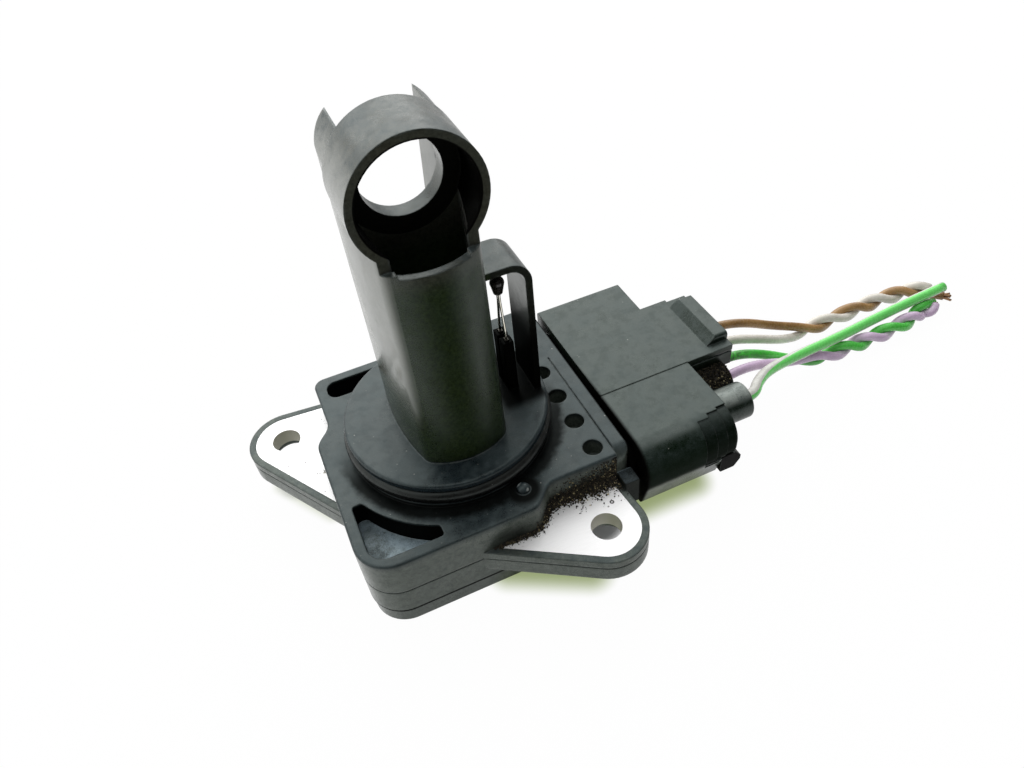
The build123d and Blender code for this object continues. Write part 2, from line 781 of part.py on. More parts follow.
# Harness plug: hood, end wall, core with its contact bores, wire barrels, latch plate and press bar
with BuildPart() as plug_housing:
    with BuildSketch(Plane.YZ.offset(plug_start)):
        add(plug_outline(0))
    extrude(amount=plug_length)
    # Stepped patch on the shoulder, the slot below it and the notch that takes the clip's lug
    for level, (patch_length, patch_side) in enumerate(patch_steps, 1):
        with BuildSketch(Plane.YZ.offset(plug_end - patch_length)):
            with Locations((-patch_side, 0)):
                Rectangle(plug_front, patch_drop, align=(Align.MAX, Align.MAX))
            add(plug_outline(level * patch_depth), mode=Mode.SUBTRACT)
        extrude(amount=patch_length, mode=Mode.SUBTRACT)
    with BuildSketch(Plane.XZ.offset(plug_front)):
        with Locations((plug_end - slot_back, -slot_drop)):
            Rectangle(slot_length, slot_height, align=(Align.MIN, Align.MAX))
    extrude(amount=-slot_depth, mode=Mode.SUBTRACT)
    with BuildSketch(Plane.XZ.offset(plug_front)):
        with Locations((plug_end, -patch_drop)):
            Rectangle(notch_length, plug_bottom - patch_drop, align=(Align.MAX, Align.MAX))
    extrude(amount=-notch_depth, mode=Mode.SUBTRACT)
    with BuildSketch(Plane.YZ.offset(plug_end)):
        with Locations(((contacts[0] + contacts[row_count - 1]) / 2, -row_drop)):
            SlotCenterToCenter(contacts[0] - contacts[row_count - 1], 2 * barrel_radius)
        with Locations((contacts[-1], -row_drop)):
            Circle(barrel_radius)
    extrude(amount=barrel_length)
    fillet(plug_housing.edges().filter_by_position(Axis.X, barrel_end, barrel_end), barrel_edge)
    with BuildSketch(Plane.YZ.offset(plug_end)):
        with Locations((latch_rear, 0)):
            Rectangle(latch_front + latch_rear, latch_sink, align=(Align.MAX, Align.MAX))
    extrude(amount=latch_length)
    with BuildSketch(Plane.YZ.offset(latch_end)):
        with Locations((latch_rear, 0)):
            Rectangle(latch_step, latch_sink, align=(Align.MAX, Align.MAX))
    extrude(amount=-latch_step_length, mode=Mode.SUBTRACT)
    with BuildSketch(Plane.XZ.offset(latch_front)):
        with Locations((latch_end, -latch_line_drop)):
            Rectangle(latch_length, latch_line_width, align=(Align.MAX, Align.MAX))
    extrude(amount=-latch_line_depth, mode=Mode.SUBTRACT)
    with BuildSketch(Plane.XZ.offset(bar_front)):
        with BuildLine():
            Polyline(
                (latch_end - bar_foot, 0),
                (latch_end - bar_foot + bar_ramp, bar_height),
                (latch_end, bar_height),
                (latch_end, 0),
                close=True,
            )
        make_face()
    extrude(amount=-bar_front - bar_rear)
    bar_top = plug_housing.faces().sort_by(Axis.Z)[-1]
    fillet(bar_top.edges().filter_by(Axis.X), bar_round)
    with BuildSketch(Plane.YZ.offset(plug_start)):
        add(shroud_outline(-hood_gap))
    extrude(amount=hood_end - plug_start, mode=Mode.SUBTRACT)
    with BuildSketch(Plane.YZ.offset(core_start)):
        add(shroud_outline(shroud_wall + core_gap))
    extrude(amount=hood_end - core_start)
    with BuildSketch(Plane.YZ.offset(seal_start)):
        add(shroud_outline(shroud_wall))
        add(shroud_outline(shroud_wall + core_gap + seal_depth), mode=Mode.SUBTRACT)
    extrude(amount=seal_width, mode=Mode.SUBTRACT)
    with BuildSketch(Plane.YZ.offset(core_start)):
        with Locations([(contact, -row_drop) for contact in contacts]):
            Rectangle(contact_bore, contact_bore)
    extrude(amount=plug_end - core_start, mode=Mode.SUBTRACT)
    with BuildSketch(Plane.YZ.offset(plug_end)):
        with Locations([(contact, -row_drop) for contact in contacts]):
            Circle(barrel_bore / 2)
    extrude(amount=barrel_length, mode=Mode.SUBTRACT)
    with BuildSketch(Plane.YZ.offset(plug_end)):
        with Locations((retainer_rear + retainer_gap, retainer_gap - retainer_drop + retainer_height)):
            Rectangle(
                retainer_rear + plug_front,
                retainer_height + 2 * retainer_gap,
                align=(Align.MAX, Align.MAX),
            )
    extrude(amount=-retainer_depth - retainer_gap, mode=Mode.SUBTRACT)
plug_housing.part.label = "plug_housing"
export_step(plug_housing.part, "parts/plug_housing.step")

# Clip pressed across the end of the plug under the barrels
with BuildPart() as terminal_retainer:
    with BuildSketch(Plane.YZ.offset(plug_end - retainer_depth)):
        with Locations((retainer_rear, -retainer_drop + retainer_height)):
            Rectangle(retainer_rear + retainer_front, retainer_height, align=(Align.MAX, Align.MAX))
    extrude(amount=retainer_depth + retainer_proud)
    fillet(terminal_retainer.edges().filter_by(Axis.X), retainer_height / 4)
    with BuildSketch(Plane.XZ.offset(lug_front)):
        with BuildLine():
            FilletPolyline(
                (plug_end + retainer_gap - notch_length, -lug_bottom),
                (plug_end + lug_waist, -lug_bottom),
                (plug_end + lug_out, -lug_middle - lug_half),
                (plug_end + lug_out, -lug_middle + lug_half),
                (plug_end + lug_waist, -lug_top),
                (plug_end + retainer_gap - notch_length, -lug_top),
                radius=lug_round,
                close=True,
            )
        make_face()
    extrude(amount=plug_front - notch_depth + retainer_gap - lug_front)
terminal_retainer.part.label = "terminal_retainer"
export_step(terminal_retainer.part, "parts/terminal_retainer.step")

# Rubber band round the core that seals the plug in the socket
with BuildPart() as plug_seal:
    with BuildSketch(Plane.YZ.offset(seal_start)):
        add(shroud_outline(shroud_wall))
        add(shroud_outline(shroud_wall + core_gap + seal_depth), mode=Mode.SUBTRACT)
    extrude(amount=seal_width)
plug_seal.part.label = "plug_seal"
export_step(plug_seal.part, "parts/plug_seal.step")

# Five receptacles with their crimp barrels
with BuildPart() as plug_terminals:
    with BuildSketch(Plane.YZ.offset(terminal_start)):
        with Locations([(contact, -row_drop) for contact in contacts]):
            Rectangle(terminal_side, terminal_side)
            Rectangle(pin_width + 2 * pin_slack, pin_height + 2 * pin_slack, mode=Mode.SUBTRACT)
    extrude(amount=terminal_length)
    with BuildSketch(Plane.YZ.offset(terminal_start + terminal_length)):
        with Locations([(contact, -row_drop) for contact in contacts]):
            Circle(crimp_radius)
    extrude(amount=crimp_end - terminal_start - terminal_length)
plug_terminals.part.label = "plug_terminals"
export_step(plug_terminals.part, "parts/plug_terminals.step")

# Five rubber sleeves that close the barrels round the wires
with BuildPart() as wire_seals:
    with BuildSketch(Plane.YZ.offset(crimp_end + wire_seal_front)):
        for contact, size in zip(contacts, wire_sizes):
            with Locations((contact, -row_drop)):
                Circle(barrel_bore / 2)
                Circle(size / 2 + wire_slack, mode=Mode.SUBTRACT)
    extrude(amount=crimp_back - wire_seal_front - wire_seal_back)
wire_seals.part.label = "wire_seals"
export_step(wire_seals.part, "parts/wire_seals.step")

# Five wires: straight runs joined by arcs as large as the runs allow
wires = (
    ("brown_wire", brown_tail),
    ("grey_wire", grey_tail),
    ("green_wire", green_tail),
    ("violet_wire", violet_tail),
    ("striped_wire", striped_tail),
)
for (wire_name, tail), contact, size in zip(wires, contacts, wire_sizes):
    route = [Vector(crimp_end, contact, -row_drop), *(Vector(point) for point in tail)]
    runs = [end - start for start, end in zip(route, route[1:])]
    radii = []
    for before, after in zip(runs, runs[1:]):
        half_turn = radians(before.get_angle(after)) / 2
        radii.append(bend_share * min(before.length, after.length) / tan(half_turn))
    with BuildPart() as wire:
        with BuildLine() as wire_path:
            FilletPolyline(route, radius=radii)
        with BuildSketch(Plane(origin=wire_path.line @ 0, z_dir=wire_path.line % 0)):
            Circle(size / 2)
        sweep(path=wire_path.line)
    wire.part.label = wire_name
    export_step(wire.part, f"parts/{wire_name}.step")
    wire_length = sum(edge.length for edge in wire_path.edges())
    share = wire.part.volume / (wire_length * pi * size**2 / 4)
    print(wire_name, "length", round(wire_length, 1), "volume share", round(share, 3))
    print("  bend radii", [round(radius, 1) for radius in radii])
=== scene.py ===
"""The looks of a plug-in mass airflow sensor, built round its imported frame.

Lengths are written in millimetres and turned into metres by mm. +Z runs up the probe, +X to the plug.
"""

import math

import bpy
import numpy as np
from mathutils import Matrix, Vector


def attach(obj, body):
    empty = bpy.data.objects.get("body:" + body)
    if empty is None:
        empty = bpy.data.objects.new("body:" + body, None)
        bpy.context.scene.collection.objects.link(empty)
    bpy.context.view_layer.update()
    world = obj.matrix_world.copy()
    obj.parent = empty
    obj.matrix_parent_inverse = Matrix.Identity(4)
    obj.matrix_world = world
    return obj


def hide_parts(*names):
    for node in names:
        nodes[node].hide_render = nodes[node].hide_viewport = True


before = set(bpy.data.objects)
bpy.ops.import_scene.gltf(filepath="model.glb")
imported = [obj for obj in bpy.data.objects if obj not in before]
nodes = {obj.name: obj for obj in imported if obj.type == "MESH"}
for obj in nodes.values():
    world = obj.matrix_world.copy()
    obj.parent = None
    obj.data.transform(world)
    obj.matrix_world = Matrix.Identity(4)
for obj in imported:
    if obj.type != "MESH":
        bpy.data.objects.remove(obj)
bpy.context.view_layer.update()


# Back cover: a flat moulding of the same black plastic as the base, which it closes from below.
# It is glued round its edge, and its underside is what the sensor stands on.
mm = 0.001


class Value:
    """A socket of a shader tree. Arithmetic on it adds Math nodes, and node() adds any other node."""

    def __init__(self, tree, socket=None):
        self.tree = tree
        self.socket = socket

    def node(self, kind, settings=None, output=0, **inputs):
        """A node of that kind: its settings, then its sockets' values or links, by name or as _index."""
        made = self.tree.nodes.new("ShaderNode" + kind)
        for name, setting in (settings or {}).items():
            setattr(made, name, setting)
        for name, given in inputs.items():
            place = int(name[1:]) if name.startswith("_") else name.replace("_", " ")
            if isinstance(given, Value):
                self.tree.links.new(given.socket, made.inputs[place])
            else:
                made.inputs[place].default_value = given
        return Value(self.tree, made.outputs[output])

    def maths(self, operation, first, second=0.0):
        """A Math node on two values."""
        return self.node("Math", {"operation": operation}, _0=first, _1=second)

    def __add__(self, other):
        return self.maths("ADD", self, other)

    def __sub__(self, other):
        return self.maths("SUBTRACT", self, other)

    def __rsub__(self, other):
        return self.maths("SUBTRACT", other, self)

    def __mul__(self, other):
        return self.maths("MULTIPLY", self, other)

    def __pow__(self, other):
        return self.maths("POWER", self, other)

    __radd__ = __add__
    __rmul__ = __mul__

    def most(self, other):
        """The larger of two values."""
        return self.maths("MAXIMUM", self, other)

    def least(self, other):
        """The smaller of two values."""
        return self.maths("MINIMUM", self, other)

    def ramp(self, low, high):
        """A smooth step of this value: 0 at low, 1 at high, whichever of the two is larger."""
        settings = {"interpolation_type": "SMOOTHSTEP"}
        return self.node("MapRange", settings, Value=self, From_Min=low, From_Max=high)

    def blend(self, colour, other):
        """The first colour where this value is 0, the other where it is 1."""
        return self.node("Mix", {"data_type": "RGBA"}, 2, _0=self, _6=colour, _7=other)

    def parts(self):
        """The x, y and z of this vector."""
        made = self.node("SeparateXYZ", Vector=self).socket.node
        return [Value(self.tree, output) for output in made.outputs]

    def dot(self, other):
        """The dot product of this vector and another."""
        return self.node("VectorMath", {"operation": "DOT_PRODUCT"}, "Value", _0=self, _1=other)

    def away(self, spot):
        """How far this place lies from a spot."""
        return self.node("VectorMath", {"operation": "DISTANCE"}, "Value", _0=self, _1=spot)

    def noise(self, scale, detail=4.0, roughness=0.6):
        """Soft noise over this place, about 0.5 in the middle."""
        inputs = {"Scale": scale, "Detail": detail, "Roughness": roughness}
        return self.node("TexNoise", None, "Fac", Vector=self, **inputs)

    def cells(self, scale):
        """How far this place lies from the nearest of many scattered points."""
        return self.node("TexVoronoi", None, "Distance", Vector=self, Scale=scale)

    def ends(self):
        """Makes this shader the material's surface."""
        output = self.tree.nodes.new("ShaderNodeOutputMaterial")
        self.tree.links.new(self.socket, output.inputs["Surface"])


def new_material(name):
    """An empty material and the place of every point of it in millimetres."""
    material = bpy.data.materials.new(name)
    material.use_nodes = True
    material.node_tree.nodes.clear()
    tree = Value(material.node_tree)
    place = tree.node("TexCoord", None, "Object")
    return material, tree.node("VectorMath", {"operation": "SCALE"}, _0=place, Scale=1 / mm)


def dress(material, *names):
    """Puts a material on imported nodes."""
    for name in names:
        nodes[name].material_slots[0].material = material


def moulded_plastic(name, colour, film, polish, specks=0.0, rounding=0.25, soot_and_shade=None, grime=None):
    """Glass-filled black plastic: spark grain, a pale dust film, specks, smears, rounded edges paled by
    wear and painted highlight.

    colour gives the clean plastic from the place and the way a face looks, polish where it is satin and
    where it is matt, soot the mask of black, which is painted shade as well as dirt, and grime that of
    brown dirt.
    film is the dust's colour.
    """
    wear_and_highlight_grey = (0.15, 0.17, 0.16, 1)
    pale_speck = (0.40, 0.40, 0.37, 1)
    shade_and_soot_black = (0.002, 0.002, 0.0015, 1)
    dirt_brown = (0.015, 0.012, 0.007, 1)
    matt_roughness = 0.56
    satin_roughness = 0.23
    material, place = new_material(name)
    facing = place.node("NewGeometry", None, "Normal")
    looks = facing.parts()
    up = looks[2].ramp(0.1, 0.9)
    cloud = place.noise(0.13, 5.0)
    streak = place.noise(0.75, 4.0, 0.65)
    grain = place.noise(6.0, 2.0, 0.5)
    dust = cloud.ramp(0.42, 0.62) * 0.5 + streak.ramp(0.42, 0.68) * 0.35 + grain.ramp(0.40, 0.66) * 0.3
    dust = dust * (0.15 + up * 0.85)
    base = dust.blend(colour(place, looks), film)
    edge = place.node("Bevel", {"samples": 6}, Radius=rounding * mm)
    # Pale along the edges: partly wear, partly a painted highlight.
    edge_wear_and_highlight = edge.dot(facing).ramp(0.985, 0.90) * streak.ramp(0.35, 0.60) * 0.45
    base = edge_wear_and_highlight.blend(base, wear_and_highlight_grey)
    if specks:
        speck = place.cells(0.9).ramp(0.12, 0.06) * place.noise(0.35, 2.0).ramp(0.62 - specks, 0.72) * up
        speck = speck * place.parts()[2].ramp(8.0, 6.0)
        base = speck.blend(base, pale_speck)
    roughness = dust * 0.24 + grain * 0.10
    smear = place.noise(0.4, 8.0, 0.74).ramp(0.45, 0.62)
    satin_share = polish(place, looks) * (1 - smear * 0.2)
    # The black mask paints shade as well as dirt.
    if soot_and_shade:
        black = soot_and_shade(place, looks)
        base = black.blend(base, shade_and_soot_black)
        satin_share = satin_share * (1 - black * 0.95)
    if grime:
        stain = grime(place)
        base = stain.blend(base, dirt_brown)
        satin_share = satin_share * (1 - stain)
    relief = grain * 0.35 + streak * 0.5
    normal = place.node("Bump", None, Height=relief, Strength=0.22, Distance=0.05 * mm, Normal=edge)
    matt = place.node(
        "BsdfPrincipled",
        None,
        Base_Color=base,
        Roughness=roughness + matt_roughness,
        Specular_IOR_Level=0.01,
        Normal=normal,
    )
    satin = place.node(
        "BsdfPrincipled",
        None,
        Base_Color=base,
        Roughness=roughness + satin_roughness - looks[0].ramp(-0.3, -0.9) * 0.10,
        Specular_IOR_Level=0.57,
        Specular_Tint=(0.88, 1.0, 0.96, 1),
        Normal=normal,
    )
    place.node("MixShader", None, _0=satin_share, _1=matt, _2=satin).ends()
    return material


def even_polish(place, looks):
    """Satin all over, a little less where a face looks to the front."""
    return 0.95 - looks[1].ramp(-0.2, -0.9) * 0.25


def joint_soot(place, looks):
    """A dark line of dirt in the joint between the cover and the base."""
    return place.parts()[2].ramp(-13.7, -13.4)


def dusty_floor_reflection_colour(place, looks):
    """Black plastic greyed all over by dust and by a painted reflection of the white floor."""
    mottle = place.noise(1.1, 7.0, 0.78).ramp(0.3, 0.7)
    return mottle.blend((0.052, 0.064, 0.050, 1), (0.122, 0.138, 0.116, 1))


pale_film = (0.044, 0.060, 0.064, 1)
cover_plastic = moulded_plastic("cover_plastic", dusty_floor_reflection_colour, pale_film, even_polish, soot_and_shade=joint_soot)
dress(cover_plastic, "back_cover")


# Circuit board: green laminate bonded under the plate, with a black controller and ceramic
# capacitors. It is shut in between the base and its cover.
def clouded_finish(name, colour, other, metallic, roughness, scale):
    """A finish of two close colours in soft clouds, with the roughness following them."""
    material, place = new_material(name)
    cloud = place.noise(scale)
    shade = cloud.ramp(0.35, 0.65)
    place.node(
        "BsdfPrincipled",
        None,
        Base_Color=shade.blend(colour, other),
        Metallic=metallic,
        Roughness=roughness + shade * 0.12,
        Normal=place.node("Bump", None, Height=cloud, Strength=0.1, Distance=0.04 * mm),
    ).ends()
    return material


laminate = clouded_finish("board_laminate", (0.03, 0.16, 0.07, 1), (0.05, 0.22, 0.10, 1), 0.0, 0.30, 0.6)
package = clouded_finish("chip_package", (0.02, 0.02, 0.022, 1), (0.035, 0.035, 0.036, 1), 0.0, 0.50, 1.5)
ceramic = clouded_finish("fired_ceramic", (0.42, 0.30, 0.18, 1), (0.52, 0.40, 0.26, 1), 0.0, 0.50, 1.2)
dress(laminate, "circuit_board")
dress(package, "control_chip")
dress(ceramic, "board_capacitors")


# Main moulding: base, ears, spigot, probe tower, guard loop and socket in one shot of black
# glass-filled plastic. Grit has worked into the corners between the base and its ears.
bump_middle = (5.6, -18.2, 0.0)
# Two painted highlights on the bump's dome, each a middle and a radius.
bump_glints = (((5.2, -17.7, 0.6), 0.55), ((6.0, -18.9, 0.5), 0.4))
ring_height = 49.0


def housing_colour(place, looks):
    """Greenish black on the tower, with a painted bluish reflection on level faces, greyed low on the base
    by dust and a painted reflection of the floor, and pale in the pockets with a painted reflection of the
    sky and dust.

    The guard has no tint, the ring at the tip is greyer, and the tower's left side carries a painted
    highlight.
    Two painted glints, each a middle and a radius, make the bump in front of the spigot pale.
    """
    flank_highlight_grey = (0.36, 0.365, 0.335, 1)
    glint_grey = (0.52, 0.56, 0.54, 1)
    pocket_sky_reflection_and_dust = (0.34, 0.44, 0.50, 1)
    x, z = place.parts()[::2]
    mottle = place.noise(1.6, 6.0, 0.75).ramp(0.3, 0.7)
    olive = mottle.blend((0.006, 0.012, 0.002, 1), (0.022, 0.035, 0.011, 1))
    sky_tinted_slate = mottle.blend((0.003, 0.006, 0.009, 1), (0.010, 0.018, 0.022, 1))
    neutral = mottle.blend((0.007, 0.008, 0.005, 1), (0.022, 0.024, 0.017, 1))
    greyer = mottle.blend((0.022, 0.023, 0.015, 1), (0.050, 0.051, 0.037, 1))
    tower = x.ramp(9.2, 9.6).blend(olive, neutral)
    tower = z.ramp(37.0, 41.0).blend(tower, greyer)
    # Level faces take a bluish tint: a painted reflection of the light above.
    level = (looks[2].ramp(0.5, 0.9) * z.ramp(8.0, 6.0)).most(z.ramp(5.4, 5.1))
    # A painted highlight on the tower's left flank.
    flank_highlight = looks[0].ramp(-0.45, -0.95) * z.ramp(10.0, 30.0) * 0.75
    upper = flank_highlight.blend(level.blend(tower, sky_tinted_slate), flank_highlight_grey)
    base = z.ramp(0.2, -1.6).blend(upper, dusty_floor_reflection_colour(place, looks))
    # Two painted glints on the bump.
    for middle, radius in bump_glints:
        base = place.away(middle).ramp(radius, radius * 0.4).blend(base, glint_grey)
    # A painted reflection of the bright sky on the pockets' floors, smeared with dust.
    pocket_reflection = looks[2].ramp(0.7, 0.95) * z.ramp(-4.8, -4.5) * z.ramp(-3.8, -4.1)
    smear = place.noise(0.35, 5.0).ramp(0.2, 0.6)
    return (pocket_reflection * (0.4 + smear * 0.6)).blend(base, pocket_sky_reflection_and_dust)


def housing_polish(place, looks):
    """Satin, but matt on those faces of the tower and the guard that look straight to the front.

    The top of the base is a little duller towards the plug.
    """
    x, z = place.parts()[::2]
    front = looks[1].ramp(-0.35, -0.8)
    turned = looks[0].ramp(-0.05, -0.7).most(looks[0].ramp(0.0, 0.5) * 0.95)
    dull_side = looks[2].ramp(0.6, 0.9) * z.ramp(8.0, 6.0) * x.ramp(-4.0, 12.0)
    return 0.95 - dull_side * 0.2 - front * (z.ramp(3.0, 7.0) * (1 - turned) * 0.93).most(0.3)


def hypotenuse(first, second):
    """The reach of two values at right angles: the root of the sum of their squares."""
    return (first * first + second * second) ** 0.5


def housing_shade_and_joints(place, looks):
    """Painted shade: black in the ring's bore, on the pockets' walls, round the seal, low on the guard,
    round the temperature element's posts, round the foot of the bump, in the corner where the right ear's
    wall begins and in the gap to the plug. The joint with the cover is a dark line, and the corner where
    the right ear's wall ends is darkened.
    """
    x, y, z = place.parts()
    from_tower = hypotenuse(x, y)
    front_pocket = x.ramp(-20.8, -20.4) * y.ramp(-21.4, -21.0) * x.ramp(-3.0, -4.0) * y.ramp(-3.0, -4.0)
    rear_pocket = x.ramp(-18.6, -18.2) * y.ramp(20.8, 20.4) * x.ramp(2.0, 1.0) * y.ramp(3.0, 4.0)
    walls = front_pocket.most(rear_pocket) * z.ramp(-0.2, -0.5) * z.ramp(-4.7, -4.4)
    walls = walls * looks[2].ramp(0.6, 0.3) * from_tower.ramp(28.4, 28.0)
    bore = hypotenuse(x, z - ring_height).ramp(8.1, 7.95) * z.ramp(36.0, 40.0) * y.ramp(-2.7, -2.95)
    guard = x.ramp(9.2, 9.6) * z.ramp(27.0, 15.0) * z.ramp(5.1, 5.5)
    posts = x.ramp(7.4, 9.4) * x.ramp(16.4, 15.6) * y.ramp(-7.5, -5.0) * y.ramp(9.0, 6.0)
    posts = posts * z.ramp(4.7, 4.9) * z.ramp(6.0, 5.4)
    from_bump = place.away(bump_middle)
    bump_foot = from_bump.ramp(3.7, 2.1) * from_bump.ramp(1.15, 1.35) * z.ramp(-0.6, -0.2)
    wall_start = x.ramp(-5.0, 1.0) * x.ramp(6.0, 3.0) * y.ramp(-20.5, -21.5)
    wall_start = wall_start * z.ramp(-0.8, -4.0) * z.ramp(-5.9, -5.7)
    wall_end = x.ramp(20.8, 21.4) * y.ramp(-18.9, -19.2) * y.ramp(-22.3, -21.9) * z.ramp(-4.0, -4.4)
    joint = z.ramp(-12.55, -12.7).most(x.ramp(24.1, 24.5))
    ledge = looks[2].ramp(0.5, 0.9) * z.ramp(-4.7, -5.0)
    ragged = place.noise(0.5, 4.0)
    seal = (from_tower + ragged * 2.0).ramp(21.2, 19.6) * from_tower.ramp(16.6, 16.9) * z.ramp(0.6, 0.3)
    seal = seal * y.ramp(4.0, -6.0) * z.ramp(-1.2, -0.6)
    black = bore.most(seal * 0.9).most(walls).most(guard).most(posts * 0.95).most(bump_foot * 0.95)
    return black.most(wall_end * 0.8).most(joint).most(ledge * 0.1).most(wall_start * 0.75)


def corner_grime(place):
    """Brown dirt low on the front wall beside the right ear, and a trace of it beside the left ear."""
    x, y, z = place.parts()
    ragged = place.noise(0.8, 6.0, 0.7)
    low = (z + ragged * 5.0).ramp(0.2, -2.2) * z.ramp(-5.78, -5.6)
    front = x.ramp(3.0, 10.0) * x.ramp(21.6, 21.0) * y.ramp(-16.0, -18.6) * y.ramp(-23.6, -23.0) * low
    left = y.ramp(4.0, 7.0) * x.ramp(-17.5, -18.6) * low
    return front * ragged.ramp(0.32, 0.5) + left * ragged.ramp(0.5, 0.62) * 0.6


housing_plastic = moulded_plastic(
    "housing_plastic",
    housing_colour,
    pale_film,
    housing_polish,
    specks=0.15,
    rounding=0.42,
    soot_and_shade=housing_shade_and_joints,
    grime=corner_grime,
)
dress(housing_plastic, "sensor_housing")


# Mounting plate: a stamped aluminium plate moulded into the base, bare where the ears are open.
# Its face is bright and finely scuffed, with grey pits and brown dirt towards the base.
plate_top = -5.8
ring_mark_middle = (18.7, -23.0, plate_top)
bright_metal = (1.0, 1.0, 1.0, 1)
scuffed_metal = (0.95, 0.95, 0.95, 1)
shaded_hole_metal = (0.50, 0.49, 0.41, 1)
mark_grey = (0.07, 0.065, 0.06, 1)
plate_dirt = (0.085, 0.062, 0.038, 1)
plate_metal, place = new_material("plate_aluminium")
x, y = place.parts()[:2]
across = place.node("Mapping", None, Vector=place, Rotation=(0, 0, math.radians(31)), Scale=(0.5, 9.0, 1.0))
scuff = across.noise(1.0, 5.0, 0.7)
cloud = place.noise(0.5, 5.0, 0.65)
pit = place.cells(0.55).ramp(0.13, 0.04) * cloud.ramp(0.5, 0.6)
from_mark = place.away(ring_mark_middle)
ring_mark = from_mark.ramp(0.10, 0.17) * from_mark.ramp(0.42, 0.33)
near_wall = y.ramp(-21.0, -19.0) * x.ramp(6.0, 11.0) + x.ramp(-20.6, -19.2) * y.ramp(2.0, 6.0) * 0.25
dirty = (near_wall + (cloud - 0.5) * 0.9).ramp(0.55, 1.1)
clean = scuff.ramp(0.3, 0.6).blend(scuffed_metal, bright_metal)
# The holes' walls are darker: painted shade.
hole_wall = place.node("NewGeometry", None, "Normal").parts()[2].ramp(0.6, 0.2)
clean = hole_wall.blend(clean, shaded_hole_metal)
marked = (pit * 0.8).most(ring_mark).blend(clean, mark_grey)
place.node(
    "BsdfPrincipled",
    None,
    Base_Color=dirty.blend(marked, plate_dirt),
    Metallic=0.4 - dirty * 0.4,
    Roughness=0.46 + scuff * 0.16 + dirty * 0.3,
    Normal=place.node("Bump", None, Height=scuff * 0.5 - pit, Strength=0.25, Distance=0.04 * mm),
).ends()
dress(plate_metal, "mounting_plate")


# O-ring: a moulded ring of black rubber that seals the spigot in the duct. It is stretched into the
# spigot's groove, and dust has dulled it where it stands proud.
def rubber_colour(place, looks):
    """Plain black."""
    return (0.004, 0.004, 0.004, 1)


rubber_dust = (0.022, 0.021, 0.019, 1)
seal_rubber = moulded_plastic("seal_rubber", rubber_colour, rubber_dust, even_polish, specks=0.16)
dress(seal_rubber, "o_ring")


# Measuring elements: two glazed rods between tinned pins, down in the bypass passage. The socket's
# blades and the plug's receptacles have the same tin on them.
glaze = clouded_finish("element_glaze", (0.55, 0.53, 0.48, 1), (0.68, 0.66, 0.60, 1), 0.0, 0.15, 1.5)
tin = clouded_finish("tinned_pins", (0.42, 0.42, 0.40, 1), (0.60, 0.60, 0.57, 1), 1.0, 0.25, 1.4)
dress(glaze, "hot_wire_element", "cold_wire_element")
dress(tin, "element_posts", "socket_pins", "plug_terminals")


# Temperature element: a dark glass drop on two bright drawn leads, inside the guard loop. The leads
# are welded to two posts of tinned metal, which are moulded into the spigot; the posts are coloured
# nearly black as painted shade.
bead_glass = clouded_finish("bead_glass", (0.012, 0.010, 0.009, 1), (0.03, 0.024, 0.02, 1), 0.0, 0.10, 0.8)
bright_leads = clouded_finish("drawn_leads", (0.76, 0.72, 0.60, 1), (0.88, 0.86, 0.78, 1), 1.0, 0.12, 1.0)
shaded_tin = clouded_finish("shaded_tin", (0.05, 0.048, 0.042, 1), (0.10, 0.095, 0.08, 1), 0.8, 0.45, 1.6)
dress(bead_glass, "thermistor_bead")
dress(bright_leads, "thermistor_leads")
dress(shaded_tin, "thermistor_posts")


# Harness plug: a hood of black plastic pushed over the socket, with a latch plate and a press bar
# on top and the wire barrels at its end. Dust dulls its top, and grit fills the recess by the barrel.
def plug_colour(place, looks):
    """Greenish black, darker on faces that look to the front as painted shade, with a painted highlight
    along the shoulder, and greyed on the skirt by dust and a painted reflection of the floor.

    The top of the single barrel carries a painted highlight, its palest grey.
    """
    shoulder_highlight_grey = (0.13, 0.15, 0.14, 1)
    barrel_highlight_grey = (0.30, 0.33, 0.305, 1)
    x, y, z = place.parts()
    # Faces that look to the front are darker: painted shade.
    front = looks[1].ramp(-0.3, -0.75).blend((0.009, 0.017, 0.010, 1), (0.002, 0.008, 0.002, 1))
    # A painted highlight along the shoulder's bend.
    shoulder_highlight = looks[1].ramp(-0.04, -0.25) * looks[1].ramp(-0.52, -0.30)
    shoulder_highlight = shoulder_highlight * z.ramp(-7.0, -4.0) * x.ramp(37.0, 36.0)
    front = (shoulder_highlight * 0.6).blend(front, shoulder_highlight_grey)
    base = (z.ramp(-7.6, -9.2) * 0.5).blend(front, dusty_floor_reflection_colour(place, looks))
    # A painted highlight on the top of the single barrel.
    barrel = x.ramp(43.3, 43.6) * y.ramp(-9.4, -9.9) * z.ramp(-2.9, -3.3) * looks[2].ramp(0.62, 0.98)
    return barrel.blend(base, barrel_highlight_grey)


def plug_polish(place, looks):
    """Satin, but matt on the round shoulder that looks to the front above the leaning skirt."""
    x, z = place.parts()[::2]
    shoulder = looks[1].ramp(-0.3, -0.75) * z.ramp(-9.0, -7.2) * x.ramp(43.4, 42.8)
    return 0.95 - shoulder * 0.9


def plug_gap_shade_and_patch(place, looks):
    """Painted shade, black on the edge in the gap to the base, and dull black on the stepped patch of the
    shoulder.
    """
    x, y, z = place.parts()
    patch = x.ramp(36.9, 37.0) * y.ramp(-18.7, -18.8)
    for start, side in ((39.1, -17.9), (41.2, -17.4)):
        patch = patch.most(x.ramp(start, start + 0.1) * y.ramp(side, side - 0.1))
    patch = patch * z.ramp(-8.4, -8.0) * x.ramp(43.4, 43.2)
    return (x + y.ramp(-12.0, 12.0) * 0.7).ramp(26.4, 25.6).most(patch * 0.4)


